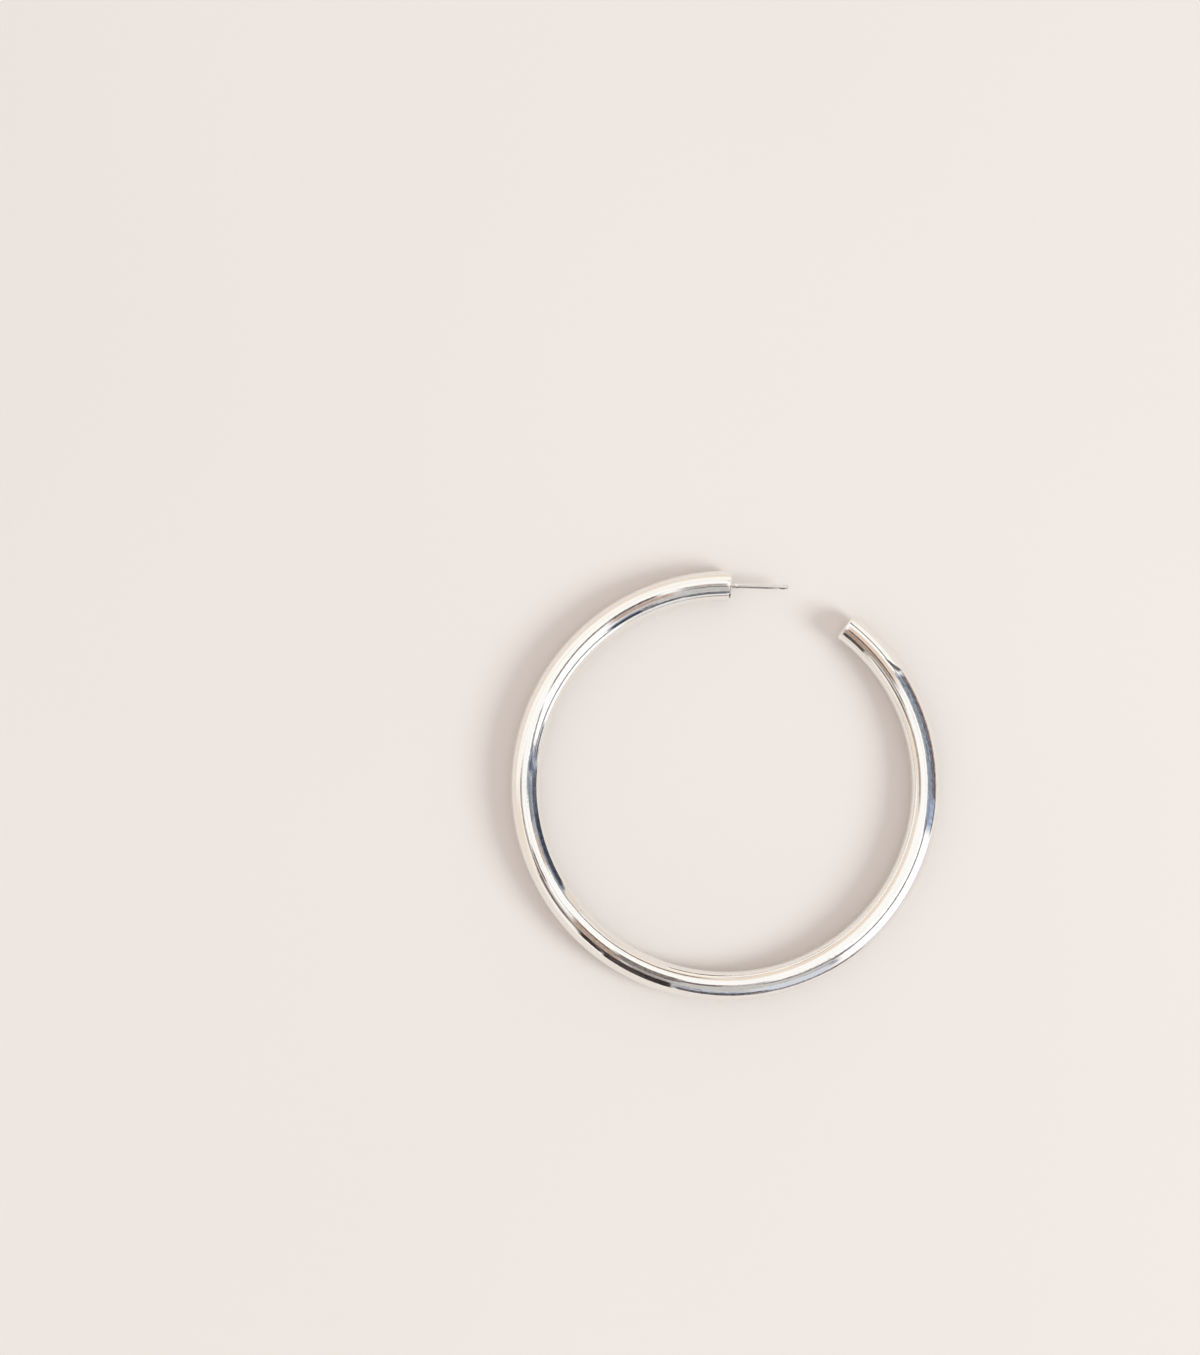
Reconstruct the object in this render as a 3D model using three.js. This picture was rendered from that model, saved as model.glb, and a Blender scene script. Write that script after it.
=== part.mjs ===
// Open round hoop earring: one bent hollow tube, a flat cap let into each of its two ends,
// and the ear post, a wire pin with a collar, that is set in one of the caps.
//
// Millimetres, +Z up. The hoop lies on its side on the plane z = 0, and the centre of its
// ring is over the origin. +Y points to the end that carries the post, which is the top of
// the hoop when it is worn. The post points along +X, across the hoop's open gap.

import * as THREE from "three";

// Driving dimensions
const HOOP_OUTER_DIAMETER = 73;
const TUBE_DIAMETER = 5;
const TUBE_WALL = 0.35;
const POST_END_ANGLE = 90; // degrees round the ring, counted from +X towards +Y
const GAP_ANGLE = 35; // degrees of the ring that are left open
const CAP_THICKNESS = 0.8;
const FIT_GAP = 0.12; // all round each cap, and round the post where it goes through its cap
const POST_DIAMETER = 0.8;
const POST_LENGTH = 9.7; // from the cap's face to the tip
const NECK_LENGTH = 0.25; // bare pin between the cap's face and the collar
const COLLAR_DIAMETER = 1;
const COLLAR_LENGTH = 0.95;
const GROOVE_FROM_TIP = 1.6; // to the middle of the groove that the earring back snaps into
const GROOVE_WIDTH = 0.4;
const GROOVE_DEPTH = 0.08;
const TIP_ROUNDING = 0.25; // length of the pin's rounded tip

// Fineness of the faceted surfaces
const TUBE_SIDES = 24;
const STEP_ANGLE = 5; // degrees of the ring for each straight stretch of tube
const PIN_SIDES = 16;
const ROUNDING_STEPS = 5;

const ringRadius = (HOOP_OUTER_DIAMETER - TUBE_DIAMETER) / 2;
const tubeRadius = TUBE_DIAMETER / 2;
const boreRadius = tubeRadius - TUBE_WALL;
const arcAngle = 360 - GAP_ANGLE;
const freeEndAngle = POST_END_ANGLE + arcAngle;

const radians = THREE.MathUtils.degToRad;

// The middle line of the tube: a level arc from the post end round to the free end.
class RingArc extends THREE.Curve {
  angleAt(t) {
    return radians(POST_END_ANGLE + arcAngle * t);
  }

  getPoint(t, target = new THREE.Vector3()) {
    const angle = this.angleAt(t);
    return target.set(ringRadius * Math.cos(angle), ringRadius * Math.sin(angle), tubeRadius);
  }

  getTangent(t, target = new THREE.Vector3()) {
    const angle = this.angleAt(t);
    return target.set(-Math.sin(angle), Math.cos(angle), 0);
  }
}

// A regular polygon whose flats, and not its corners, lie at the given distance from its
// middle. Flats face along its two axes, so the tube has a flat strip to lie on.
function flatSidedCircle(distanceToFlats, PathClass) {
  const cornerRadius = distanceToFlats / Math.cos(Math.PI / TUBE_SIDES);
  const corners = [];
  for (let side = 0; side < TUBE_SIDES; side += 1) {
    const angle = ((side + 0.5) / TUBE_SIDES) * 2 * Math.PI;
    corners.push(new THREE.Vector2(cornerRadius * Math.cos(angle), cornerRadius * Math.sin(angle)));
  }
  return new PathClass(corners);
}

function namedMesh(name, geometry, finish) {
  const mesh = new THREE.Mesh(geometry, new THREE.MeshStandardMaterial(finish));
  mesh.name = name;
  return mesh;
}

const silverPlate = { color: 0xe9e6e1, roughness: 0.08, metalness: 1 };
const polishedSteel = { color: 0xb9b7b5, roughness: 0.18, metalness: 1 };

function hoopTube() {
  const section = flatSidedCircle(tubeRadius, THREE.Shape);
  section.holes.push(flatSidedCircle(boreRadius, THREE.Path));
  const geometry = new THREE.ExtrudeGeometry(section, {
    extrudePath: new RingArc(),
    steps: arcAngle / STEP_ANGLE,
  });
  return namedMesh("hoop_tube", geometry, silverPlate);
}

// A flat disc that fills the mouth of the tube, level with the tube's rim. It is made with
// its outer face at x = 0, facing +X, and postHoleRadius opens a hole through its middle.
function endCap(name, postHoleRadius) {
  const disc = flatSidedCircle(boreRadius - FIT_GAP, THREE.Shape);
  if (postHoleRadius > 0) {
    disc.holes.push(flatSidedCircle(postHoleRadius, THREE.Path));
  }
  const geometry = new THREE.ExtrudeGeometry(disc, { depth: CAP_THICKNESS, bevelEnabled: false });
  geometry.rotateY(Math.PI / 2);
  geometry.translate(-CAP_THICKNESS, 0, 0);
  return namedMesh(name, geometry, silverPlate);
}

// Points of a half-round swelling along the pin, from `start` to `start + length`.
function collarProfile(start, length, pinRadius, collarRadius) {
  const points = [];
  for (let step = 0; step <= 2 * ROUNDING_STEPS; step += 1) {
    const along = step / (2 * ROUNDING_STEPS);
    const swell = Math.sqrt(Math.sin(Math.PI * along));
    const radius = pinRadius + (collarRadius - pinRadius) * swell;
    points.push(new THREE.Vector2(radius, start + length * along));
  }
  return points;
}

// Points of the rounded tip, a quarter of an ellipse that ends on the pin's axis.
function tipProfile(tip, pinRadius) {
  const points = [];
  for (let step = 0; step < ROUNDING_STEPS; step += 1) {
    const angle = ((step / ROUNDING_STEPS) * Math.PI) / 2;
    const along = tip - TIP_ROUNDING * (1 - Math.sin(angle));
    points.push(new THREE.Vector2(pinRadius * Math.cos(angle), along));
  }
  points.push(new THREE.Vector2(0, tip));
  return points;
}

// The pin and its collar are one piece of wire. It starts inside its cap, at the cap's back.
function earPost() {
  const radius = POST_DIAMETER / 2;
  const grooveRadius = radius - GROOVE_DEPTH;
  const groove = POST_LENGTH - GROOVE_FROM_TIP;
  const profile = [
    new THREE.Vector2(0, -CAP_THICKNESS),
    new THREE.Vector2(radius, -CAP_THICKNESS),
    ...collarProfile(NECK_LENGTH, COLLAR_LENGTH, radius, COLLAR_DIAMETER / 2),
    new THREE.Vector2(radius, groove - GROOVE_WIDTH / 2),
    new THREE.Vector2(grooveRadius, groove - GROOVE_WIDTH / 4),
    new THREE.Vector2(grooveRadius, groove + GROOVE_WIDTH / 4),
    new THREE.Vector2(radius, groove + GROOVE_WIDTH / 2),
    ...tipProfile(POST_LENGTH, radius),
  ];
  const geometry = new THREE.LatheGeometry(profile, PIN_SIDES);
  geometry.rotateZ(-Math.PI / 2);
  return namedMesh("ear_post", geometry, polishedSteel);
}

// A group that stands at one end of the tube, with its +X axis pointing out of that end.
function tubeEnd(ringAngle, outwardAngle) {
  const group = new THREE.Group();
  const angle = radians(ringAngle);
  group.position.set(ringRadius * Math.cos(angle), ringRadius * Math.sin(angle), tubeRadius);
  group.rotation.z = radians(outwardAngle);
  return group;
}

const postEnd = tubeEnd(POST_END_ANGLE, POST_END_ANGLE - 90);
postEnd.add(endCap("post_end_cap", POST_DIAMETER / 2 + FIT_GAP));
postEnd.add(earPost());

const freeEnd = tubeEnd(freeEndAngle, freeEndAngle + 90);
freeEnd.add(endCap("free_end_cap", 0));

const hoopEarring = new THREE.Group();
hoopEarring.add(hoopTube(), postEnd, freeEnd);

export default hoopEarring;
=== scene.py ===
"""Open round hoop earring in silver plate, lying on its side on a pale table.

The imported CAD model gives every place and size. Each of its four pieces gets a finished
piece here: the bent tube, the two discs that close its ends, and the ear post.
"""

import math

import bmesh
import bpy
from bpy.props import FloatProperty, FloatVectorProperty, IntProperty, PointerProperty
from bpy.types import Operator, Panel, PropertyGroup
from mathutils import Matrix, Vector


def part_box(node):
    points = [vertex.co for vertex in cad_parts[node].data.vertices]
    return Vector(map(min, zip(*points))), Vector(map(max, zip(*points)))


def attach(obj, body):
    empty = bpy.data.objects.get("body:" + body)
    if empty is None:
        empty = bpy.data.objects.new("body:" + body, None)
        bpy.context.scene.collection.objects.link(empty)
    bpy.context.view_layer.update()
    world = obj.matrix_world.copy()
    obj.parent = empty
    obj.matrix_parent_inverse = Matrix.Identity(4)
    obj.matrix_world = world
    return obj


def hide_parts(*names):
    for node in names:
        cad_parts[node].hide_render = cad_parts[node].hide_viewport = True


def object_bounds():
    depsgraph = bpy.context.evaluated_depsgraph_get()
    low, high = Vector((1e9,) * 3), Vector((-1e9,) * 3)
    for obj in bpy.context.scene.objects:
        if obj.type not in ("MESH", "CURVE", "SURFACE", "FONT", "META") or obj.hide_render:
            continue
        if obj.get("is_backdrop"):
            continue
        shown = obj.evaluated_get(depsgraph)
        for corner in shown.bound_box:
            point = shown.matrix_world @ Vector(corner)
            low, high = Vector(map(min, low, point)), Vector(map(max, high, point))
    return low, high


bl_info = {
    "name": "Hoop earring",
    "version": (1, 0, 0),
    "blender": (4, 5, 0),
    "location": "3D View > Sidebar > Hoop earring",
    "description": "Builds a silver-plated tube hoop earring with its ear post",
    "category": "Add Mesh",
}

MM = 0.001
MICROMETRE = 0.001 * MM

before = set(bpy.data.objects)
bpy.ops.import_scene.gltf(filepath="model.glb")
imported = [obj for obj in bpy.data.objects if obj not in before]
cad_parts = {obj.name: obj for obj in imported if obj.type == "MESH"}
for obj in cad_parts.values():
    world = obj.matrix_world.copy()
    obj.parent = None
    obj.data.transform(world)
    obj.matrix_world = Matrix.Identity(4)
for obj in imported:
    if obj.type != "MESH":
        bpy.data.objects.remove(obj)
cad_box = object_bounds()


# ---------------------------------------------------------------- sizes from the CAD frame

tube_low, tube_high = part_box("hoop_tube")
cap_low, cap_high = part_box("post_end_cap")
free_low, free_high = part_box("free_end_cap")
post_low, post_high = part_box("ear_post")

TUBE_RADIUS = (tube_high.z - tube_low.z) / 2
RING_RADIUS = tube_high.x - TUBE_RADIUS
CAP_THICKNESS = cap_high.x - cap_low.x
POST_TIP = post_high.x
POST_BACK = post_low.x

POST_END = Vector((0, RING_RADIUS, TUBE_RADIUS))
POST_END_ANGLE = math.pi / 2


def free_end_angle():
    """The ring angle of the free end's face, half a thickness past its disc's middle."""
    middle = (free_low + free_high) / 2
    half_disc = math.atan(CAP_THICKNESS / 2 / RING_RADIUS)
    return math.atan2(middle.y, middle.x) + half_disc


ARC_ANGLE = free_end_angle() + 2 * math.pi - POST_END_ANGLE


# ---------------------------------------------------------------- settings


class TubeSettings(PropertyGroup):
    wall: FloatProperty(
        name="Wall",
        description="Thickness of the tube's wall",
        default=0.45 * MM,
        unit="LENGTH",
        precision=5,
    )
    rim_rounding: FloatProperty(
        name="Rim rounding",
        description="Rounding of the outer edge at each end of the tube",
        default=0.4 * MM,
        unit="LENGTH",
        precision=5,
    )
    seam: FloatProperty(
        name="Seam",
        description="Gap of the hairline seam round each disc and round the post",
        default=0.02 * MM,
        unit="LENGTH",
        precision=5,
    )
    edge_break: FloatProperty(
        name="Edge break",
        description="Small rounding on the sharp edges beside a seam",
        default=0.04 * MM,
        unit="LENGTH",
        precision=5,
    )
    crown: FloatProperty(
        name="Crown",
        description="How far the middle of a disc stands out past its edge",
        default=0.04 * MM,
        unit="LENGTH",
        precision=5,
    )
    sides: IntProperty(
        name="Sides",
        description="Number of sides round the tube",
        default=80,
        min=24,
    )
    steps: IntProperty(
        name="Steps",
        description="Number of steps along the bent tube",
        default=195,
        min=65,
    )


class PostSettings(PropertyGroup):
    wire: FloatProperty(
        name="Wire",
        description="Diameter of the post's wire",
        default=0.8 * MM,
        unit="LENGTH",
        precision=5,
    )
    neck: FloatProperty(
        name="Neck",
        description="Bare wire between the disc and the collar",
        default=0.25 * MM,
        unit="LENGTH",
        precision=5,
    )
    collar_length: FloatProperty(
        name="Collar length",
        description="Length of the collar along the post",
        default=0.95 * MM,
        unit="LENGTH",
        precision=5,
    )
    collar_diameter: FloatProperty(
        name="Collar diameter",
        description="Diameter of the collar at its fullest",
        default=1.0 * MM,
        unit="LENGTH",
        precision=5,
    )
    groove_from_tip: FloatProperty(
        name="Groove from tip",
        description="Distance from the tip to the middle of the groove that holds the back",
        default=1.6 * MM,
        unit="LENGTH",
        precision=5,
    )
    groove_width: FloatProperty(
        name="Groove width",
        description="Width of the groove",
        default=0.4 * MM,
        unit="LENGTH",
        precision=5,
    )
    groove_depth: FloatProperty(
        name="Groove depth",
        description="Depth of the groove",
        default=0.08 * MM,
        unit="LENGTH",
        precision=5,
    )
    tip_rounding: FloatProperty(
        name="Tip rounding",
        description="Length of the rounded tip",
        default=0.25 * MM,
        unit="LENGTH",
        precision=5,
    )
    sides: IntProperty(
        name="Sides",
        description="Number of sides round the post",
        default=40,
        min=12,
    )


class FinishSettings(PropertyGroup):
    silver: FloatVectorProperty(
        name="Silver plate",
        description="Colour of the silver plate",
        default=(0.93, 0.915, 0.89),
        subtype="COLOR",
    )
    steel: FloatVectorProperty(
        name="Post steel",
        description="Colour of the post's stainless steel",
        default=(0.86, 0.835, 0.81),
        subtype="COLOR",
    )
    table: FloatVectorProperty(
        name="Table",
        description="Colour of the table that the earring lies on",
        default=(0.885, 0.828, 0.768),
        subtype="COLOR",
    )


class StudioSettings(PropertyGroup):
    key_azimuth: FloatProperty(
        name="Key azimuth",
        description="Direction that the key light comes from, round the hoop from +X",
        default=math.radians(-17),
        subtype="ANGLE",
    )
    key_height: FloatProperty(
        name="Key height",
        description="Angle of the key light above the table",
        default=math.radians(33),
        subtype="ANGLE",
    )
    screen_radius: FloatProperty(
        name="Screen radius",
        description="Radius of the round screen that holds the near reflector cards",
        default=64.5 * MM,
        unit="LENGTH",
        precision=5,
    )
    roof_height: FloatProperty(
        name="Roof height",
        description="Height of the flat disc with the lines along the tube's top",
        default=25 * MM,
        unit="LENGTH",
    )


class HoopSettings(PropertyGroup):
    tube: PointerProperty(type=TubeSettings)
    post: PointerProperty(type=PostSettings)
    finish: PointerProperty(type=FinishSettings)
    studio: PointerProperty(type=StudioSettings)


def settings():
    return bpy.context.scene.hoop_earring


# ---------------------------------------------------------------- modelling helpers


def deselect_all():
    if bpy.context.object and bpy.context.object.mode != "OBJECT":
        bpy.ops.object.mode_set(mode="OBJECT")
    bpy.ops.object.select_all(action="DESELECT")


def new_piece(name, add, **options):
    """Adds a primitive as a new object and leaves it in edit mode, all selected."""
    deselect_all()
    add(**options)
    piece = bpy.context.object
    piece.name = name
    piece.data.name = name
    bpy.ops.object.transform_apply(location=True, rotation=True, scale=True)
    bpy.ops.object.mode_set(mode="EDIT")
    bpy.ops.mesh.select_all(action="SELECT")
    return piece


def select_where(kind, test):
    """Selects the vertices, edges or faces of the piece in edit mode that pass a test."""
    bpy.ops.mesh.select_mode(type=kind)
    bpy.ops.mesh.select_all(action="DESELECT")
    mesh = bmesh.from_edit_mesh(bpy.context.object.data)
    elements = {"VERT": mesh.verts, "EDGE": mesh.edges, "FACE": mesh.faces}[kind]
    chosen = [element for element in elements if test(element)]
    for element in chosen:
        element.select_set(True)
    mesh.select_flush_mode()
    bmesh.update_edit_mesh(bpy.context.object.data)
    if not chosen:
        raise RuntimeError(f"nothing to select on {bpy.context.object.name}")


def all_vertices(test):
    return lambda element: all(test(vertex.co) for vertex in element.verts)


def smooth_and_finish(piece, angle, material, *nodes):
    """Shades a piece, gives it its material, and puts it in place of its CAD nodes."""
    bpy.ops.object.mode_set(mode="OBJECT")
    bpy.ops.object.shade_smooth_by_angle(angle=math.radians(angle))
    piece.data.materials.clear()
    piece.data.materials.append(material)
    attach(piece, "root")
    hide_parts(*nodes)


def ring_angle(point):
    return math.atan2(point.y, point.x) % (2 * math.pi)


def from_middle_line(point):
    """Distance from the tube's curved middle line."""
    sideways = math.hypot(point.x, point.y) - RING_RADIUS
    return math.hypot(sideways, point.z - TUBE_RADIUS)


def near(value, target, tolerance=0.003 * MM):
    return abs(value - target) < tolerance


# ---------------------------------------------------------------- node helpers


def add_node(tree, kind, inputs=(), **properties):
    """Adds a node. Inputs that are sockets are linked, and the others are set as values."""
    node = tree.nodes.new(kind)
    for key, value in properties.items():
        setattr(node, key, value)
    pairs = inputs.items() if isinstance(inputs, dict) else enumerate(inputs)
    for key, value in pairs:
        if isinstance(value, bpy.types.NodeSocket):
            tree.links.new(value, node.inputs[key])
        elif value is not None:
            node.inputs[key].default_value = value
    return node


def maths(tree, operation, *values):
    return add_node(tree, "ShaderNodeMath", values, operation=operation).outputs[0]


def map_range(tree, value, low, high, to_low=0.0, to_high=1.0, smooth=True):
    style = "SMOOTHSTEP" if smooth else "LINEAR"
    node = add_node(
        tree,
        "ShaderNodeMapRange",
        {
            "Value": value,
            "From Min": low,
            "From Max": high,
            "To Min": to_low,
            "To Max": to_high,
        },
        interpolation_type=style,
    )
    return node.outputs["Result"]


def mix_colour(tree, factor, first, second):
    """Sockets 0, 6 and 7 of a Mix node are its factor and its two colours."""
    node = add_node(tree, "ShaderNodeMix", data_type="RGBA")
    for socket, value in ((0, factor), (6, first), (7, second)):
        if isinstance(value, bpy.types.NodeSocket):
            tree.links.new(value, node.inputs[socket])
        else:
            node.inputs[socket].default_value = value
    return node.outputs[2]


def new_group(name, inputs, outputs):
    """A node group with its named sockets: (name, kind, default) in, (name, kind) out."""
    group = bpy.data.node_groups.new(name, "ShaderNodeTree")
    for socket, kind, default in inputs:
        made = group.interface.new_socket(
            name=socket, in_out="INPUT", socket_type="NodeSocket" + kind
        )
        if default is not None:
            made.default_value = default
    for socket, kind in outputs:
        group.interface.new_socket(
            name=socket, in_out="OUTPUT", socket_type="NodeSocket" + kind
        )
    entry = group.nodes.new("NodeGroupInput")
    result = group.nodes.new("NodeGroupOutput")
    return group, entry.outputs, result.inputs


def place_group(tree, group, inputs):
    node = tree.nodes.new("ShaderNodeGroup")
    node.node_tree = group
    for key, value in inputs.items():
        if isinstance(value, bpy.types.NodeSocket):
            tree.links.new(value, node.inputs[key])
        else:
            node.inputs[key].default_value = value
    return node.outputs


def linear(colour):
    """Linear light from everyday 0 to 255 colour values."""
    channels = []
    for value in colour:
        share = value / 255
        if share <= 0.04045:
            channels.append(share / 12.92)
        else:
            channels.append(((share + 0.055) / 1.055) ** 2.4)
    return tuple(channels)


# ---------------------------------------------------------------- metal finishes


def hoop_coordinates_group():
    """Where a point is on the bent tube: along it and round it, in millimetres."""
    group, given, out = new_group(
        "Hoop coordinates",
        [
            ("Position", "Vector", None),
            ("Ring radius", "Float", RING_RADIUS),
            ("Tube radius", "Float", TUBE_RADIUS),
        ],
        [("Coordinates", "Vector")],
    )
    parts = add_node(group, "ShaderNodeSeparateXYZ", [given["Position"]]).outputs
    turn = maths(group, "ARCTAN2", parts["Y"], parts["X"])
    reach = maths(
        group,
        "SQRT",
        maths(
            group,
            "ADD",
            maths(group, "POWER", parts["X"], 2.0),
            maths(group, "POWER", parts["Y"], 2.0),
        ),
    )
    side = maths(group, "SUBTRACT", reach, given["Ring radius"])
    up = maths(group, "SUBTRACT", parts["Z"], given["Tube radius"])
    roll = maths(group, "ARCTAN2", up, side)
    along = maths(
        group, "MULTIPLY", turn, maths(group, "DIVIDE", given["Ring radius"], MM)
    )
    tube_mm = maths(group, "DIVIDE", given["Tube radius"], MM)
    round_it = add_node(
        group,
        "ShaderNodeCombineXYZ",
        [
            along,
            maths(group, "MULTIPLY", maths(group, "SINE", roll), tube_mm),
            maths(group, "MULTIPLY", maths(group, "COSINE", roll), tube_mm),
        ],
    )
    group.links.new(round_it.outputs[0], out["Coordinates"])
    return group


def polish_group():
    """The marks that polishing and wear leave on bright metal.

    Coordinates are in millimetres with X along the piece. It gives a roughness, a height in
    micrometres and a mask of faint haze.
    """
    group, given, out = new_group(
        "Polish marks",
        [
            ("Coordinates", "Vector", None),
            ("Wave length", "Float", 3.0),
            ("Wave depth", "Float", 2.0),
            ("Grain length", "Float", 0.45),
            ("Grain depth", "Float", 1.0),
            ("Line depth", "Float", 0.05),
            ("Line spacing", "Float", 0.12),
            ("Bright", "Float", 0.04),
            ("Dull", "Float", 0.10),
        ],
        [("Roughness", "Float"), ("Height", "Float"), ("Haze", "Float")],
    )

    def noise(squeeze, scale, detail, rough=0.5):
        """Noise that is drawn out along the piece where squeeze is small along X."""
        stretched = add_node(
            group,
            "ShaderNodeVectorMath",
            [given["Coordinates"], squeeze],
            operation="MULTIPLY",
        )
        return add_node(
            group,
            "ShaderNodeTexNoise",
            {
                "Vector": stretched.outputs[0],
                "Scale": scale,
                "Detail": detail,
                "Roughness": rough,
            },
        ).outputs[0]

    def ups_and_downs(squeeze, length, detail, depth):
        """Rises and hollows of a length, with their middle level at zero."""
        pattern = noise(squeeze, maths(group, "DIVIDE", 1.0, length), detail)
        return maths(group, "MULTIPLY", maths(group, "SUBTRACT", pattern, 0.5), depth)

    waves = ups_and_downs(
        (0.45, 1.0, 1.0), given["Wave length"], 2.0, given["Wave depth"]
    )
    grain = ups_and_downs(
        (0.7, 1.0, 1.0), given["Grain length"], 1.0, given["Grain depth"]
    )
    line_scale = maths(group, "DIVIDE", 1.0, given["Line spacing"])
    fine_lines = noise((0.03, 1.0, 1.0), line_scale, detail=3.0, rough=0.6)
    scratch_noise = noise((0.06, 1.6, 1.6), 2.2, detail=4.0, rough=0.7)
    scratches = map_range(group, scratch_noise, low=0.60, high=0.72)
    scratched = maths(group, "MULTIPLY", scratches, 0.8)
    lines = maths(
        group,
        "MULTIPLY",
        maths(group, "SUBTRACT", fine_lines, scratched),
        given["Line depth"],
    )
    haze_noise = noise((0.25, 0.8, 0.8), 0.7, detail=5.0, rough=0.62)
    haze = map_range(group, haze_noise, low=0.45, high=0.75)
    fine_haze = maths(group, "MULTIPLY", scratches, 0.5)
    dullness = maths(group, "MINIMUM", maths(group, "ADD", haze, fine_haze), 1.0)
    roughness = map_range(
        group, dullness, 0.0, 1.0, given["Bright"], given["Dull"], smooth=False
    )
    height = maths(group, "ADD", maths(group, "ADD", waves, grain), lines)
    group.links.new(roughness, out["Roughness"])
    group.links.new(height, out["Height"])
    group.links.new(dullness, out["Haze"])
    return group


def metal(name, colour, hazy_colour, coordinates, marks, groups):
    """A bright metal: a Principled shader fed by the shared polish marks."""
    material = bpy.data.materials.new(name)
    material.use_nodes = True
    tree = material.node_tree
    shader = tree.nodes["Principled BSDF"]
    shader.inputs["Metallic"].default_value = 1.0
    position = add_node(tree, "ShaderNodeTexCoord").outputs["Object"]
    where = coordinates(tree, position, groups)
    polish = place_group(tree, groups["polish"], {"Coordinates": where, **marks})
    tone = mix_colour(tree, polish["Haze"], (*colour, 1), (*hazy_colour, 1))
    bump = add_node(
        tree,
        "ShaderNodeBump",
        {"Strength": 1.0, "Distance": MICROMETRE, "Height": polish["Height"]},
    )
    tree.links.new(tone, shader.inputs["Base Color"])
    tree.links.new(polish["Roughness"], shader.inputs["Roughness"])
    tree.links.new(bump.outputs["Normal"], shader.inputs["Normal"])
    return material


def along_the_hoop(tree, position, groups):
    return place_group(tree, groups["hoop"], {"Position": position})["Coordinates"]


def along_the_post(tree, position, groups):
    """Millimetres from the middle of the post end's face, with X along the post."""
    return add_node(
        tree,
        "ShaderNodeMapping",
        {
            "Vector": position,
            "Location": tuple(-POST_END / MM),
            "Scale": (1 / MM, 1 / MM, 1 / MM),
        },
    ).outputs[0]


def make_metals():
    finish = settings().finish
    groups = {"hoop": hoop_coordinates_group(), "polish": polish_group()}
    silver = tuple(finish.silver)
    hazy_silver = tuple(0.97 * value for value in silver)
    steel = tuple(finish.steel)
    dark_steel = tuple(0.92 * value for value in steel)
    mirror = {"Wave length": 3.0, "Wave depth": 2.0, "Line depth": 0.04}
    metal(
        "Silver plate, tube",
        silver,
        hazy_silver,
        along_the_hoop,
        {**mirror, "Grain depth": 5.0, "Bright": 0.035, "Dull": 0.09},
        groups,
    )
    metal(
        "Silver plate, discs",
        silver,
        hazy_silver,
        along_the_post,
        {**mirror, "Wave length": 1.5, "Wave depth": 1.0, "Bright": 0.05, "Dull": 0.12},
        groups,
    )
    metal(
        "Drawn steel, post",
        steel,
        dark_steel,
        along_the_post,
        {
            "Wave length": 1.2,
            "Wave depth": 0.5,
            "Line depth": 0.25,
            "Line spacing": 0.05,
            "Bright": 0.05,
            "Dull": 0.13,
        },
        groups,
    )


# ---------------------------------------------------------------- the pieces


class HOOP_OT_finishes(Operator):
    """Make the silver plate and the post's steel"""

    bl_idname = "hoop.finishes"
    bl_label = "Metal finishes"

    def execute(self, context):
        make_metals()
        return {"FINISHED"}


class HOOP_OT_tube(Operator):
    """Bend a hollow round tube along the hoop and round the rims of its two ends"""

    bl_idname = "hoop.tube"
    bl_label = "Tube"

    END_TOLERANCE = 0.0005  # radians round the ring

    def execute(self, context):
        sizes = settings().tube
        tube = new_piece(
            "hoop_tube_polished",
            bpy.ops.mesh.primitive_circle_add,
            vertices=sizes.sides,
            radius=TUBE_RADIUS,
            fill_type="NOTHING",
            location=POST_END,
            rotation=(0, math.pi / 2, 0),
        )
        bpy.ops.mesh.spin(
            steps=sizes.steps, angle=-ARC_ANGLE, center=(0, 0, 0), axis=(0, 0, 1)
        )
        bpy.ops.mesh.select_all(action="SELECT")
        bpy.ops.mesh.remove_doubles(threshold=MICROMETRE)
        self.point_faces_outwards()
        self.give_wall(tube, sizes.wall)
        bpy.ops.object.mode_set(mode="EDIT")
        self.round_rims(TUBE_RADIUS, sizes.rim_rounding, 6)
        self.round_rims(TUBE_RADIUS - sizes.wall, sizes.edge_break, 2)
        silver = bpy.data.materials["Silver plate, tube"]
        smooth_and_finish(tube, 40, silver, "hoop_tube")
        return {"FINISHED"}

    def point_faces_outwards(self):
        bpy.ops.mesh.normals_make_consistent(inside=False)
        mesh = bmesh.from_edit_mesh(bpy.context.object.data)
        face = max(mesh.faces, key=lambda f: f.calc_center_median().z)
        if face.normal.z < 0:
            bpy.ops.mesh.flip_normals()
        bpy.ops.object.mode_set(mode="OBJECT")

    def give_wall(self, tube, wall):
        solidify = tube.modifiers.new("Wall", "SOLIDIFY")
        solidify.thickness = wall
        solidify.offset = -1
        solidify.use_even_offset = True
        solidify.use_rim = True
        bpy.ops.object.modifier_apply(modifier=solidify.name)

    def round_rims(self, radius, rounding, segments):
        """Rounds the circle of edges that has this radius at each end of the tube."""
        ends = (POST_END_ANGLE, free_end_angle())

        def on_rim(point):
            at_end = any(
                abs(ring_angle(point) - end) < self.END_TOLERANCE for end in ends
            )
            return at_end and near(from_middle_line(point), radius)

        select_where("EDGE", all_vertices(on_rim))
        bpy.ops.mesh.bevel(
            offset=rounding, segments=segments, affect="EDGES", clamp_overlap=False
        )


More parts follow.
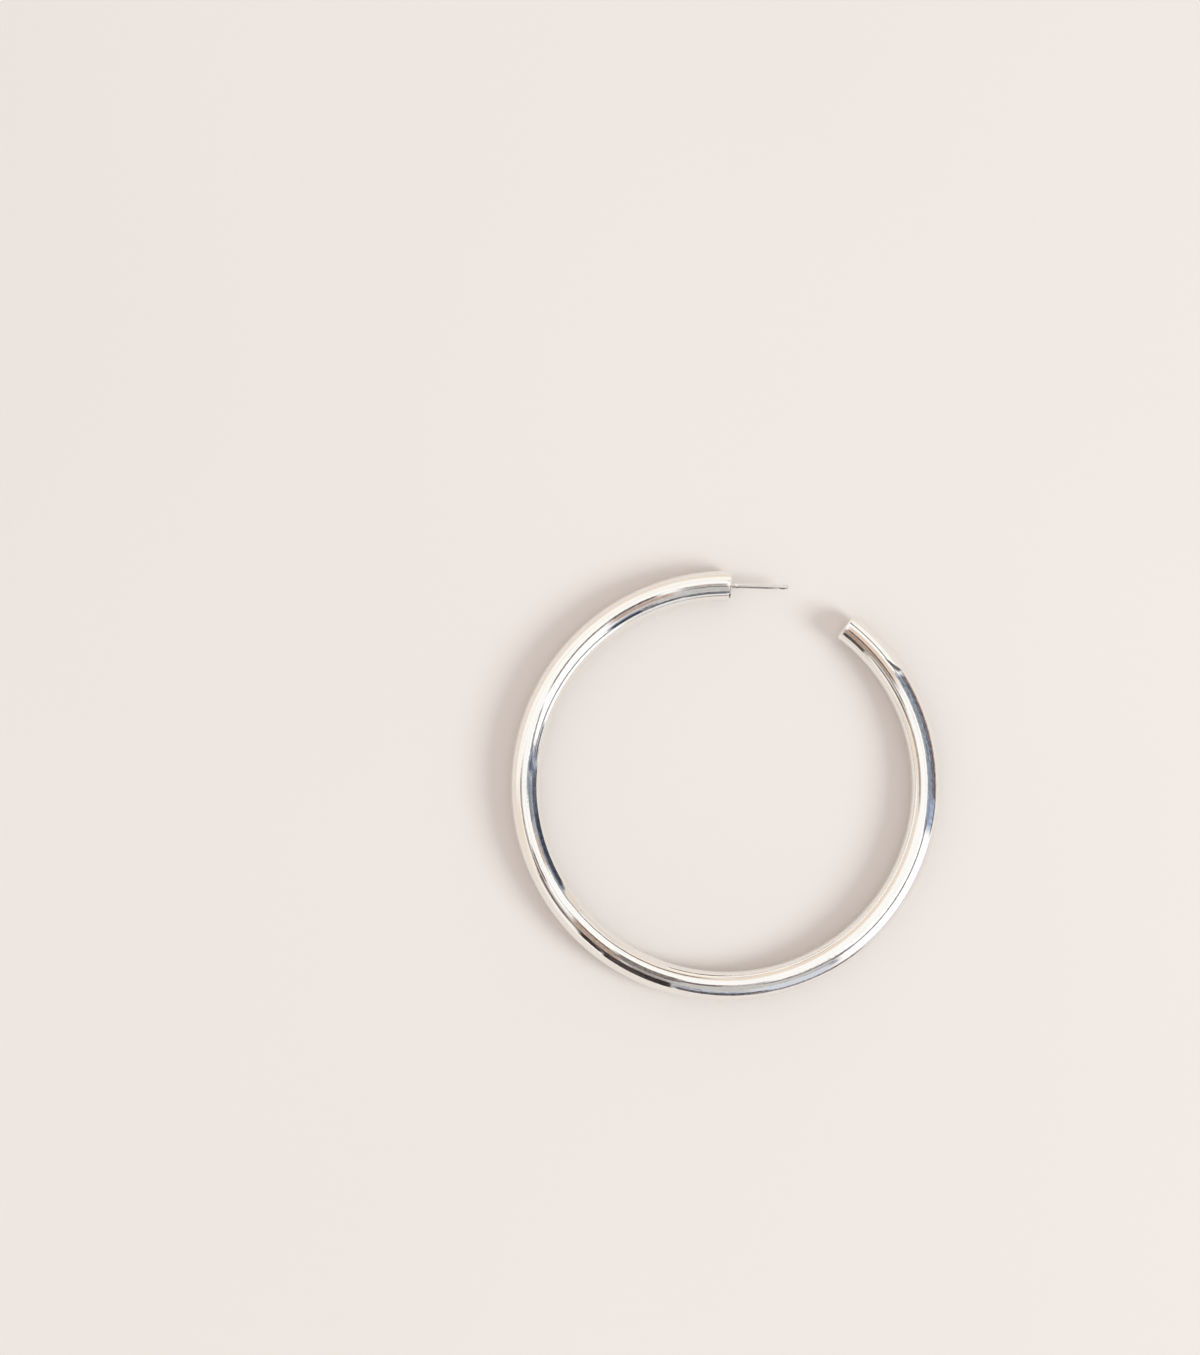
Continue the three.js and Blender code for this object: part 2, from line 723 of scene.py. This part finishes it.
class HOOP_OT_discs(Operator):
    """Close each end of the tube with a flat disc, and open one for the post"""

    bl_idname = "hoop.discs"
    bl_label = "End discs"

    CROWN_STEPS = 4
    SHARP = 1  # radians between the face and the side of a disc, at least

    def execute(self, context):
        angle = free_end_angle()
        free_end = Vector(
            (RING_RADIUS * math.cos(angle), RING_RADIUS * math.sin(angle), TUBE_RADIUS)
        )
        free_turn = angle + math.pi / 2
        self.disc("post_end_disc", "post_end_cap", POST_END, 0, True)
        self.disc("free_end_disc", "free_end_cap", free_end, free_turn, False)
        return {"FINISHED"}

    def disc(self, name, node, face_middle, turn, with_hole):
        """A disc whose face looks along +X turned by an angle, with a hole or without."""
        tube = settings().tube
        outward = Vector((math.cos(turn), math.sin(turn), 0))
        radius = TUBE_RADIUS - tube.wall - tube.seam
        disc = new_piece(
            name,
            bpy.ops.mesh.primitive_cylinder_add,
            vertices=tube.sides,
            radius=radius,
            depth=CAP_THICKNESS,
            location=face_middle - outward * CAP_THICKNESS / 2,
            rotation=(0, math.pi / 2, turn),
        )

        def depth_of(point):
            return (point - face_middle).dot(outward)

        def on_front_edge(edge):
            in_front = all(near(depth_of(vertex.co), 0) for vertex in edge.verts)
            return in_front and edge.calc_face_angle(0) > self.SHARP

        select_where("EDGE", on_front_edge)
        bpy.ops.mesh.bevel(offset=tube.edge_break, segments=3, affect="EDGES")
        self.raise_crown(face_middle, outward, depth_of, radius)
        if with_hole:
            self.open_hole(depth_of)
        silver = bpy.data.materials["Silver plate, discs"]
        smooth_and_finish(disc, 40, silver, node)

    def raise_crown(self, face_middle, outward, depth_of, radius):
        """Insets the face in rings that stand a little further out towards the middle."""
        tube = settings().tube
        hole = settings().post.wire / 2 + tube.seam

        def is_front(face):
            many_sided = len(face.verts) > 4
            return many_sided and near(depth_of(face.calc_center_median()), 0)

        select_where("FACE", is_front)
        ring_width = (radius - tube.edge_break - hole) / self.CROWN_STEPS
        for step in range(self.CROWN_STEPS):
            share = (self.CROWN_STEPS - step) / sum(range(1, self.CROWN_STEPS + 1))
            bpy.ops.mesh.inset(thickness=ring_width)
            bpy.ops.transform.translate(value=outward * tube.crown * share)

    def open_hole(self, depth_of):
        """Cuts the post's hole: its ring is inset at the back too, and both are joined."""
        tube = settings().tube
        hole = settings().post.wire / 2 + tube.seam
        back_radius = TUBE_RADIUS - tube.wall - tube.seam

        def many_sided(face):
            return len(face.verts) > 4

        def is_back(face):
            depth = depth_of(face.calc_center_median())
            return many_sided(face) and near(depth, -CAP_THICKNESS)

        select_where("FACE", is_back)
        bpy.ops.mesh.inset(thickness=back_radius - hole)
        select_where("FACE", many_sided)
        bpy.ops.mesh.delete(type="FACE")
        select_where("EDGE", lambda edge: edge.is_boundary)
        bpy.ops.mesh.bridge_edge_loops()
        bpy.ops.mesh.select_all(action="SELECT")
        bpy.ops.mesh.normals_make_consistent(inside=False)


class HOOP_OT_post(Operator):
    """Draw the ear post: a wire with a collar, a groove for its back, and a rounded tip"""

    bl_idname = "hoop.post"
    bl_label = "Ear post"

    ROUNDING_STEPS = 10
    TIP_SHARE = 0.04  # how much of the radius is left at the very tip

    def execute(self, context):
        sizes = settings().post
        radius = sizes.wire / 2
        post = new_piece(
            "ear_post_polished",
            bpy.ops.mesh.primitive_circle_add,
            vertices=sizes.sides,
            radius=radius,
            fill_type="NGON",
            location=POST_END + Vector((POST_BACK, 0, 0)),
            rotation=(0, math.pi / 2, 0),
        )
        here, width = POST_BACK, radius
        for there, new_width in self.profile(sizes, radius):
            bpy.ops.mesh.extrude_region_move(
                TRANSFORM_OT_translate={"value": (there - here, 0, 0)}
            )
            grow = new_width / width
            bpy.ops.transform.resize(
                value=(1, grow, grow),
                center_override=POST_END + Vector((there, 0, 0)),
            )
            here, width = there, new_width
        bpy.ops.mesh.select_all(action="SELECT")
        bpy.ops.mesh.normals_make_consistent(inside=False)
        steel = bpy.data.materials["Drawn steel, post"]
        smooth_and_finish(post, 50, steel, "ear_post")
        return {"FINISHED"}

    def profile(self, sizes, radius):
        """Places along the post, from its back to its tip, each with the radius there."""
        points = [(0.0, radius)]
        swelling = sizes.collar_diameter / 2 - radius
        for step in range(self.ROUNDING_STEPS + 1):
            along = step / self.ROUNDING_STEPS
            bulge = math.sqrt(max(0.0, math.sin(math.pi * along)))
            place = sizes.neck + sizes.collar_length * along
            points.append((place, radius + swelling * bulge))
        groove = POST_TIP - sizes.groove_from_tip
        half = sizes.groove_width / 2
        shoulders = ((-1.1, 0), (-0.9, 0.15), (-0.5, 1), (0.5, 1), (0.9, 0.15), (1.1, 0))
        for along, depth in shoulders:
            points.append((groove + half * along, radius - sizes.groove_depth * depth))
        for step in range(self.ROUNDING_STEPS):
            turn = step / self.ROUNDING_STEPS * math.pi / 2
            place = POST_TIP - sizes.tip_rounding * (1 - math.sin(turn))
            points.append((place, radius * math.cos(turn)))
        points.append((POST_TIP, radius * self.TIP_SHARE))
        return points


# ---------------------------------------------------------------- the studio

# The light: a wide key light, and the sky's colours for reflections and for all the rest
KEY_DISTANCE = 2.5
KEY_SIZE = 1.15
KEY_POWER = 35.5
KEY_COLOUR = (0.83, 0.94, 1.0)
HIGH_SKY = (1.05, 1.04, 1.02)
LOW_SKY = (240, 231, 222)
LOW_SKY_DIPS = (58.0, 82.0)  # degrees down from overhead, where the low sky comes in
SOFT_LIGHT = (0.748, 0.704, 0.702)

# The camera, straight over a point of the table
VIEW_MIDDLE = Vector((-21.84 * MM, 17.71 * MM, TUBE_RADIUS))
VIEW_HEIGHT = 230.05 * MM  # the stretch of table that it takes in
VIEW_TURN = math.radians(1.8)
LENS = 120
SENSOR_WIDTH = 36

INNER_SCREEN_RADIUS = 0.6 * RING_RADIUS
INNER_SCREEN_HEIGHT = 60 * MM
ROOF_RADIUS = 1.5 * RING_RADIUS
ROOF_DIP = 2.7  # degrees of dip that stand for a millimetre on the roof

POST_FLAG_AWAY = 8 * MM
POST_FLAG_HEIGHT = 9 * MM
POST_FLAG_TONE = (108, 92, 84)

# Reflector cards and dark flags. After its name, a card has its middle and its half width,
# in degrees round the hoop from +X, then its two other edges, the softness of its sides and
# of these edges, the lean of its sides, the slope of these edges, and its colour. A later
# card covers an earlier one. The edges are degrees down from overhead on the sky,
# millimetres above the table on a round screen, and millimetres from the hoop's axis on
# the roof.

# On the sky
FAR_CARDS = [
    ("warm low sky", 135, 75, 46, 92, 40, 12, 0, 0, (242, 226, 210)),
    ("blue edge", 354, 6, 14, 80, 5, 8, 0, 0, (150, 156, 168)),
    ("south-west brown", 229, 12, 22, 50, 10, 8, 0, 0, (172, 148, 130)),
    ("south-west dark", 216, 7, 30, 50, 6, 6, 0, 0, (132, 120, 112)),
    ("south grey", 278, 30, 0, 48, 14, 8, 0, 0, (200, 197, 195)),
    ("south grey, west part", 254, 7, 4, 48, 8, 8, 0, 0, (162, 155, 150)),
    ("south blue flag", 278, 24, 47, 64, 6, 5, 0, 0.1, (112, 113, 122)),
    ("south-east navy", 302, 7, 38, 64, 5, 6, 0, 0, (92, 94, 108)),
    ("key box", 328, 20, -10, 58, 5, 4, 0, -0.1, (266, 267, 268)),
]

# On three round screens outside the ring, the widest first
MIDDLE_CARDS = [
    ("west haze", 200, 26, 128, 200, 14, 20, 0, 0, (212, 206, 202)),
    ("west line", 196, 18, 104, 158, 10, 12, 0, 0, (172, 160, 150)),
    ("south-west line", 216, 12, 92, 130, 10, 10, 0, 0, (112, 100, 98)),
    ("south-west line, thick end", 235, 7.5, 46, 134, 5, 12, 0, 0, (64, 52, 52)),
    ("north-east line", 58, 28, 92, 120, 16, 8, 0, -0.3, (98, 82, 78)),
    ("east grey", 4, 13, 60, 330, 8, 50, 0, -3, (142, 148, 158)),
    ("east warm streak", 17, 6, 130, 300, 8, 40, 0, 0, (206, 182, 164)),
]

NEAR_CARDS = [
    ("north-west reflector", 128, 58, 13, 38, 12, 6, 0, 0, (258, 254, 248)),
    ("east flag, top", 11.5, 22, 50, 104, 2, 14, 0.04, 0, (154, 160, 170)),
    ("east flag", 11.5, 22, 26, 62, 2, 10, 0.04, 0, (142, 150, 164)),
    ("east flag, darker part", 11.5, 22, 9, 30, 2, 8, 0.04, 0, (103, 108, 120)),
    ("east flag, lower edge", 12, 22, 5, 12, 2, 3, 0, 0, (70, 58, 58)),
    ("blue edge, upper part", 352, 5, 28, 110, 5, 14, 0, 0, (156, 164, 182)),
    ("blue edge", 352, 5.5, 8, 38, 5, 8, 0, 0, (164, 180, 208)),
    ("black flag", 247.3, 10.8, 14, 56, 2, 4, 0, 0, (60, 52, 54)),
    ("black flag, wing", 241.6, 6, 14, 60, 2, 6, -0.234, 0, (76, 68, 68)),
    ("gap over the reflector", 327, 24, 51, 73, 5, 5, 0, 0, (112, 98, 104)),
    ("reflector", 327, 22, 4, 54, 4, 4, 0, 0, (266, 267, 270)),
]

CLOSE_CARDS = [
    ("east flag, dark line", 15.5, 18, 6.6, 9.6, 2, 1.2, 0, 0, (96, 86, 90)),
    ("flag end, tapering", 37, 2.4, 10, 20, 1.5, 3, 0, 3, (104, 100, 104)),
    ("east flag, foot", 15.5, 18, 4.6, 6.8, 2, 1, 0, 0, (176, 150, 138)),
    ("blue edge, foot", 353, 5, 5.2, 7.4, 4, 1.4, 0, 0, (112, 104, 108)),
    ("flag end", 262.2, 4, 8, 21, 2, 4, 0, 0, (130, 126, 128)),
    ("south haze, west part", 272, 13, 9, 17, 6, 3, 0, -0.16, (184, 190, 204)),
    ("south haze, east part", 291, 12, 4, 18, 6, 4, 0, -0.16, (216, 221, 230)),
    ("south line", 271, 13, 6.6, 12.2, 4, 1.8, 0, -0.16, (100, 96, 102)),
    ("south line, east part", 294, 16, 3.4, 6.4, 8, 1.4, 0, -0.16, (140, 134, 140)),
    ("south line, end", 307, 7, 1, 4.2, 6, 1.2, 0, -0.1, (134, 120, 122)),
    ("reflector, lower fringe", 330, 18, 1.2, 3.2, 6, 1.2, 0, 0, (218, 204, 220)),
]

# On a round screen inside the ring, which only the inner side of the tube sees
INNER_CARDS = [
    ("west flag", 196, 19.5, 1.2, 12.8, 5, 1.8, 0.2, 0, (98, 103, 116)),
    ("west flag, darker part", 202.5, 12, 1.2, 9.6, 3, 1.8, 0.3, 0, (70, 74, 86)),
    ("west flag, end", 219.5, 4, -1, 13, 1.5, 2, 0.2, 0, (232, 220, 208)),
    ("west flag, start", 173, 7, 20, 50, 4, 6, 0, -2.5, (118, 122, 140)),
    ("west flag, thin start", 169.5, 6.5, 5.8, 10, 4, 2, 0, 0, (112, 114, 126)),
    ("north-west blot", 122, 6.5, 10.6, 18.6, 4, 2.5, 0.2, 0, (62, 66, 80)),
    ("north-west blot, blue side", 122.5, 6, 18.4, 23, 4, 3, 0, 0, (124, 138, 174)),
    ("north line", 96, 7.5, 9.4, 13.2, 4, 1.6, 0, 0, (92, 96, 106)),
]

# On the roof, a low flat disc. Only the tube right under a card sees it well, so these
# draw the lines along the tube's top.
ROOF_CARDS = [
    ("north-east warm", 43, 12, 31, 39.5, 8, 3, 0, 0, (232, 206, 186)),
    ("north-east dark line", 43, 13, 25.4, 30.6, 8, 2, 0, 0, (108, 84, 76)),
    ("north grey", 97, 8, 34, 40, 6, 2.5, 0, 0, (186, 172, 164)),
    ("north dark", 95, 9, 29.4, 34, 8, 2, 0, 0, (140, 138, 136)),
    ("north-west mauve", 116, 11, 25, 34.6, 6, 2.5, 0, 0, (194, 170, 160)),
    ("north-west dark line", 119, 9, 34.4, 40.4, 6, 2, 0, -0.05, (116, 104, 102)),
    ("reflector, top line", 140, 14, 32.8, 37, 8, 1.8, 0, -0.14, (140, 118, 110)),
    ("reflector, side line", 166, 8, 24.6, 28.6, 6, 2, 0, -0.45, (146, 144, 144)),
    ("west spot", 206, 6, 39, 43.6, 5, 2, 0, 0, (124, 102, 92)),
    ("south-west brown", 233, 10, 34.6, 46, 6, 3, 0, 0, (180, 156, 140)),
    ("south-west dark line", 232, 9, 31.2, 34.8, 8, 1.6, 0, 0, (104, 78, 66)),
    ("south dark", 250, 11, 27.2, 39, 6, 2, 0, 0, (132, 124, 122)),
    ("south dark, end", 267, 9, 30, 35.4, 6, 2, 0, 0, (118, 104, 98)),
    ("south dark, far end", 279, 7, 30.6, 35.6, 6, 2, 0, 0, (192, 184, 182)),
    ("south-east line", 297, 15, 38.2, 41.8, 8, 1.6, 0, 0.24, (130, 124, 126)),
]

CARD_SOCKETS = (
    "Middle",
    "Half width",
    "Low edge",
    "High edge",
    "Side softness",
    "Edge softness",
    "Lean",
    "Slope",
)


def studio_card_group():
    """A mask of one soft-edged card, from an angle round the hoop and a height or a dip."""
    sockets = [("Angle", "Float", 0.0), ("Height", "Float", 0.0)]
    sockets += [(name, "Float", 0.0) for name in CARD_SOCKETS]
    group, given, out = new_group("Studio card", sockets, [("Mask", "Float")])
    turn = maths(
        group,
        "WRAP",
        maths(group, "SUBTRACT", given["Angle"], given["Middle"]),
        180.0,
        -180.0,
    )
    height = maths(
        group,
        "SUBTRACT",
        given["Height"],
        maths(group, "MULTIPLY", turn, given["Slope"]),
    )
    middle_height = maths(
        group,
        "MULTIPLY",
        maths(group, "ADD", given["Low edge"], given["High edge"]),
        0.5,
    )
    over_middle = maths(group, "SUBTRACT", given["Height"], middle_height)
    leaning = maths(
        group,
        "ABSOLUTE",
        maths(
            group,
            "SUBTRACT",
            turn,
            maths(group, "MULTIPLY", over_middle, given["Lean"]),
        ),
    )

    def step_at(value, edge, softness, sign):
        half = maths(group, "MULTIPLY", softness, 0.5 * sign)
        start = maths(group, "SUBTRACT", edge, half)
        stop = maths(group, "ADD", edge, half)
        return map_range(group, value, start, stop)

    inside = step_at(leaning, given["Half width"], given["Side softness"], -1)
    above = step_at(height, given["Low edge"], given["Edge softness"], 1)
    below = step_at(height, given["High edge"], given["Edge softness"], -1)
    mask = maths(group, "MULTIPLY", inside, maths(group, "MULTIPLY", above, below))
    group.links.new(mask, out["Mask"])
    return group


def paint_cards(tree, group, cards, angle, height, colour):
    """Lays cards over a colour, one on another, and tells how much they cover of it."""
    cover = 0.0
    for card in cards:
        name, *shape, tone = card
        values = dict(zip(CARD_SOCKETS, shape))
        mask = place_group(
            tree, group, {"Angle": angle, "Height": height, **values}
        )["Mask"]
        tree.nodes[-1].label = name
        colour = mix_colour(tree, mask, colour, (*linear(tone), 1))
        cover = maths(tree, "MAXIMUM", cover, mask)
    return colour, cover


def mottled(tree, angle, dip, colour):
    """Breaks up the flat tone of the darker cards with streaks that run downwards.

    Places on the cards are given as degrees round the hoop and down from overhead.
    """
    down = maths(tree, "MULTIPLY", dip, 0.08)
    place = add_node(tree, "ShaderNodeCombineXYZ", [angle, down, 0.0]).outputs[0]
    streaks = add_node(
        tree,
        "ShaderNodeTexNoise",
        {"Vector": place, "Scale": 1.0, "Detail": 3.0, "Roughness": 0.6},
    ).outputs[0]
    level = add_node(tree, "ShaderNodeRGBToBW", [colour]).outputs[0]
    amount = map_range(tree, level, low=0.75, high=0.3, to_low=0.0, to_high=3.0)
    swing = maths(tree, "MULTIPLY", maths(tree, "SUBTRACT", streaks, 0.5), amount)
    scaled = add_node(tree, "ShaderNodeVectorMath", [colour], operation="SCALE")
    tree.links.new(maths(tree, "ADD", swing, 1.0), scaled.inputs["Scale"])
    return scaled.outputs[0]


def degrees_round(tree, x, y):
    return maths(tree, "DEGREES", maths(tree, "ARCTAN2", y, x))


def only_in_reflections(thing):
    """Hides a stage piece from everything but the reflections in the metal."""
    thing.visible_camera = False
    thing.visible_diffuse = False
    thing.visible_shadow = False
    thing.visible_transmission = False
    thing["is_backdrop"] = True


class HOOP_OT_studio(Operator):
    """Set up the table, the sky, the screens with their cards, the light and the camera"""

    bl_idname = "hoop.studio"
    bl_label = "Studio"

    def execute(self, context):
        group = studio_card_group()
        self.table()
        self.sky(context, group)
        radius = settings().studio.screen_radius
        self.screen(group, "near_screen", radius, 2 * radius, NEAR_CARDS)
        self.screen(group, "middle_screen", 1.8 * radius, 6 * radius, MIDDLE_CARDS)
        self.screen(group, "close_screen", 0.7 * radius, 0.6 * radius, CLOSE_CARDS)
        self.screen(
            group,
            "inner_screen",
            INNER_SCREEN_RADIUS,
            INNER_SCREEN_HEIGHT,
            INNER_CARDS,
            outside=True,
        )
        self.roof(group)
        self.post_flag()
        self.key_light(context)
        self.camera(context)
        context.scene.view_settings.view_transform = "Standard"
        return {"FINISHED"}

    def table(self):
        """A wide flat table, very slightly cloudy in colour."""
        deselect_all()
        bpy.ops.mesh.primitive_circle_add(vertices=96, radius=2, fill_type="NGON")
        table = bpy.context.object
        table.name = "table"
        material = bpy.data.materials.new("Pale table")
        material.use_nodes = True
        tree = material.node_tree
        shader = tree.nodes["Principled BSDF"]
        shader.inputs["Roughness"].default_value = 0.9
        shader.inputs["Specular IOR Level"].default_value = 0.1
        position = add_node(tree, "ShaderNodeTexCoord").outputs["Object"]
        cloudy = add_node(
            tree,
            "ShaderNodeTexNoise",
            {"Vector": position, "Scale": 6.0, "Detail": 2.0},
        ).outputs[0]
        colour = tuple(settings().finish.table)
        darker = tuple(0.985 * value for value in colour)
        tone = mix_colour(
            tree, map_range(tree, cloudy, 0.3, 0.7), (*colour, 1), (*darker, 1)
        )
        tree.links.new(tone, shader.inputs["Base Color"])
        table.data.materials.append(material)
        table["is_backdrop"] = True

    def sky(self, context, group):
        """Reflections see the far cards, and everything else a plain soft light."""
        world = bpy.data.worlds.new("Studio")
        context.scene.world = world
        world.use_nodes = True
        tree = world.node_tree
        background = tree.nodes["Background"]
        direction = add_node(tree, "ShaderNodeTexCoord").outputs["Generated"]
        parts = add_node(tree, "ShaderNodeSeparateXYZ", [direction]).outputs
        angle = degrees_round(tree, parts["X"], parts["Y"])
        dip = maths(tree, "DEGREES", maths(tree, "ARCCOSINE", parts["Z"]))
        low = map_range(tree, dip, *LOW_SKY_DIPS)
        base = mix_colour(tree, low, (*HIGH_SKY, 1), (*linear(LOW_SKY), 1))
        cards, _ = paint_cards(tree, group, FAR_CARDS, angle, dip, base)
        cards = mottled(tree, angle, dip, cards)
        glossy = add_node(tree, "ShaderNodeLightPath").outputs["Is Glossy Ray"]
        colour = mix_colour(tree, glossy, (*SOFT_LIGHT, 1), cards)
        tree.links.new(colour, background.inputs["Color"])
        background.inputs["Strength"].default_value = 1.0

    def screen(self, group, name, radius, height, cards, outside=False):
        """A round screen that only reflections see, with its cards on it.

        Its cards show from both sides, or from outside only, for the tube round it.
        """
        screen = new_piece(
            name,
            bpy.ops.mesh.primitive_cylinder_add,
            vertices=180,
            radius=radius,
            depth=height,
            end_fill_type="NOTHING",
            location=(0, 0, height / 2 + 0.5 * MM),
        )
        reach = (radius - RING_RADIUS) / MM

        def place(tree, parts):
            level = maths(tree, "DIVIDE", parts["Z"], MM)
            dip = maths(tree, "DEGREES", maths(tree, "ARCTAN2", reach, level))
            return level, dip

        self.show_in_reflections(screen, group, cards, place, outside)

    def roof(self, group):
        """A flat disc low over the hoop, that only reflections see."""
        disc = new_piece(
            "roof",
            bpy.ops.mesh.primitive_circle_add,
            vertices=180,
            radius=ROOF_RADIUS,
            fill_type="NGON",
            location=(0, 0, settings().studio.roof_height),
        )

        def place(tree, parts):
            across = add_node(tree, "ShaderNodeCombineXYZ", [parts["X"], parts["Y"]])
            length = add_node(
                tree, "ShaderNodeVectorMath", [across.outputs[0]], operation="LENGTH"
            )
            reach = maths(tree, "DIVIDE", length.outputs["Value"], MM)
            return reach, maths(tree, "MULTIPLY", reach, ROOF_DIP)

        self.show_in_reflections(disc, group, ROOF_CARDS, place)

    def post_flag(self):
        """A small dark card that draws the line along the lower side of the post."""
        flag = new_piece(
            "post_flag",
            bpy.ops.mesh.primitive_plane_add,
            size=1,
            location=POST_END + Vector((POST_TIP / 2, -POST_FLAG_AWAY, 0)),
            rotation=(math.pi / 2, 0, 0),
        )
        bpy.ops.transform.resize(value=(POST_TIP - MM, 1, POST_FLAG_HEIGHT))
        bpy.ops.object.mode_set(mode="OBJECT")
        material = bpy.data.materials.new("Dark card")
        material.use_nodes = True
        tree = material.node_tree
        tree.nodes.remove(tree.nodes["Principled BSDF"])
        tone = (*linear(POST_FLAG_TONE), 1)
        glow = add_node(tree, "ShaderNodeEmission", {"Color": tone})
        tree.links.new(glow.outputs[0], tree.nodes["Material Output"].inputs[0])
        flag.data.materials.append(material)
        only_in_reflections(flag)

    def show_in_reflections(self, screen, group, cards, place, outside=False):
        """Paints cards on a screen, which is clear between them."""
        bpy.ops.object.mode_set(mode="OBJECT")
        material = bpy.data.materials.new("Cards on " + screen.name)
        material.use_nodes = True
        tree = material.node_tree
        tree.nodes.remove(tree.nodes["Principled BSDF"])
        position = add_node(tree, "ShaderNodeTexCoord").outputs["Object"]
        parts = add_node(tree, "ShaderNodeSeparateXYZ", [position]).outputs
        angle = degrees_round(tree, parts["X"], parts["Y"])
        height, dip = place(tree, parts)
        white = (1.0, 1.0, 1.0, 1)
        colour, cover = paint_cards(tree, group, cards, angle, height, white)
        colour = mottled(tree, angle, dip, colour)
        if outside:
            inside = add_node(tree, "ShaderNodeNewGeometry").outputs["Backfacing"]
            facing = maths(tree, "SUBTRACT", 1.0, inside)
            cover = maths(tree, "MULTIPLY", cover, facing)
        glow = add_node(tree, "ShaderNodeEmission", {"Color": colour})
        clear = add_node(tree, "ShaderNodeBsdfTransparent")
        both = add_node(
            tree,
            "ShaderNodeMixShader",
            [cover, clear.outputs[0], glow.outputs[0]],
        )
        tree.links.new(both.outputs[0], tree.nodes["Material Output"].inputs[0])
        screen.data.materials.append(material)
        only_in_reflections(screen)

    def key_light(self, context):
        """A round soft light, low at the right. Cards stand for it in reflections."""
        studio = settings().studio
        light = bpy.data.lights.new("Key", "AREA")
        light.shape = "DISK"
        light.size = KEY_SIZE
        light.energy = KEY_POWER
        light.color = KEY_COLOUR
        key = bpy.data.objects.new("Key", light)
        context.collection.objects.link(key)
        level = math.cos(studio.key_height)
        away = Vector(
            (
                level * math.cos(studio.key_azimuth),
                level * math.sin(studio.key_azimuth),
                math.sin(studio.key_height),
            )
        )
        key.location = away * KEY_DISTANCE
        key.rotation_euler = away.to_track_quat("Z", "Y").to_euler()
        key.visible_camera = False
        key.visible_glossy = False

    def camera(self, context):
        """Looks straight down, a little to the left of the hoop and above it."""
        data = bpy.data.cameras.new("Overhead")
        data.sensor_width = SENSOR_WIDTH
        data.lens = LENS
        data.clip_start = 0.01
        distance = LENS / SENSOR_WIDTH * VIEW_HEIGHT
        camera = bpy.data.objects.new("Overhead", data)
        context.collection.objects.link(camera)
        camera.location = VIEW_MIDDLE + Vector((0, 0, distance))
        camera.rotation_euler = (0, 0, VIEW_TURN)
        context.scene.camera = camera


# ---------------------------------------------------------------- panel and registration


class HOOP_PT_panel(Panel):
    """Buttons for the pieces of the earring, and its sizes and colours"""

    bl_idname = "HOOP_PT_panel"
    bl_label = "Hoop earring"
    bl_space_type = "VIEW_3D"
    bl_region_type = "UI"
    bl_category = "Hoop earring"

    def draw(self, context):
        for operator in OPERATORS:
            self.layout.operator(operator.bl_idname)
        for part in ("tube", "post", "finish", "studio"):
            box = self.layout.box()
            box.label(text=part.capitalize())
            group = getattr(settings(), part)
            for name in group.bl_rna.properties.keys():
                if name not in ("rna_type", "name"):
                    box.prop(group, name)


OPERATORS = (
    HOOP_OT_finishes,
    HOOP_OT_tube,
    HOOP_OT_discs,
    HOOP_OT_post,
    HOOP_OT_studio,
)

CLASSES = (
    TubeSettings,
    PostSettings,
    FinishSettings,
    StudioSettings,
    HoopSettings,
    *OPERATORS,
    HOOP_PT_panel,
)


def register():
    for cls in CLASSES:
        bpy.utils.register_class(cls)
    bpy.types.Scene.hoop_earring = PointerProperty(type=HoopSettings)


def unregister():
    del bpy.types.Scene.hoop_earring
    for cls in reversed(CLASSES):
        bpy.utils.unregister_class(cls)


def write_sizes():
    """Builds the corners of the CAD model's box and of the finished model's box as lists,
    then drops them.
    """
    as_lists = lambda box: [list(map(float, corner)) for corner in box]
    {"cad": as_lists(cad_box), "visual": as_lists(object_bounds())}


def main():
    register()
    bpy.ops.hoop.finishes()
    bpy.ops.hoop.tube()
    bpy.ops.hoop.discs()
    bpy.ops.hoop.post()
    bpy.ops.hoop.studio()
    write_sizes()


if __name__ == "__main__":
    main()
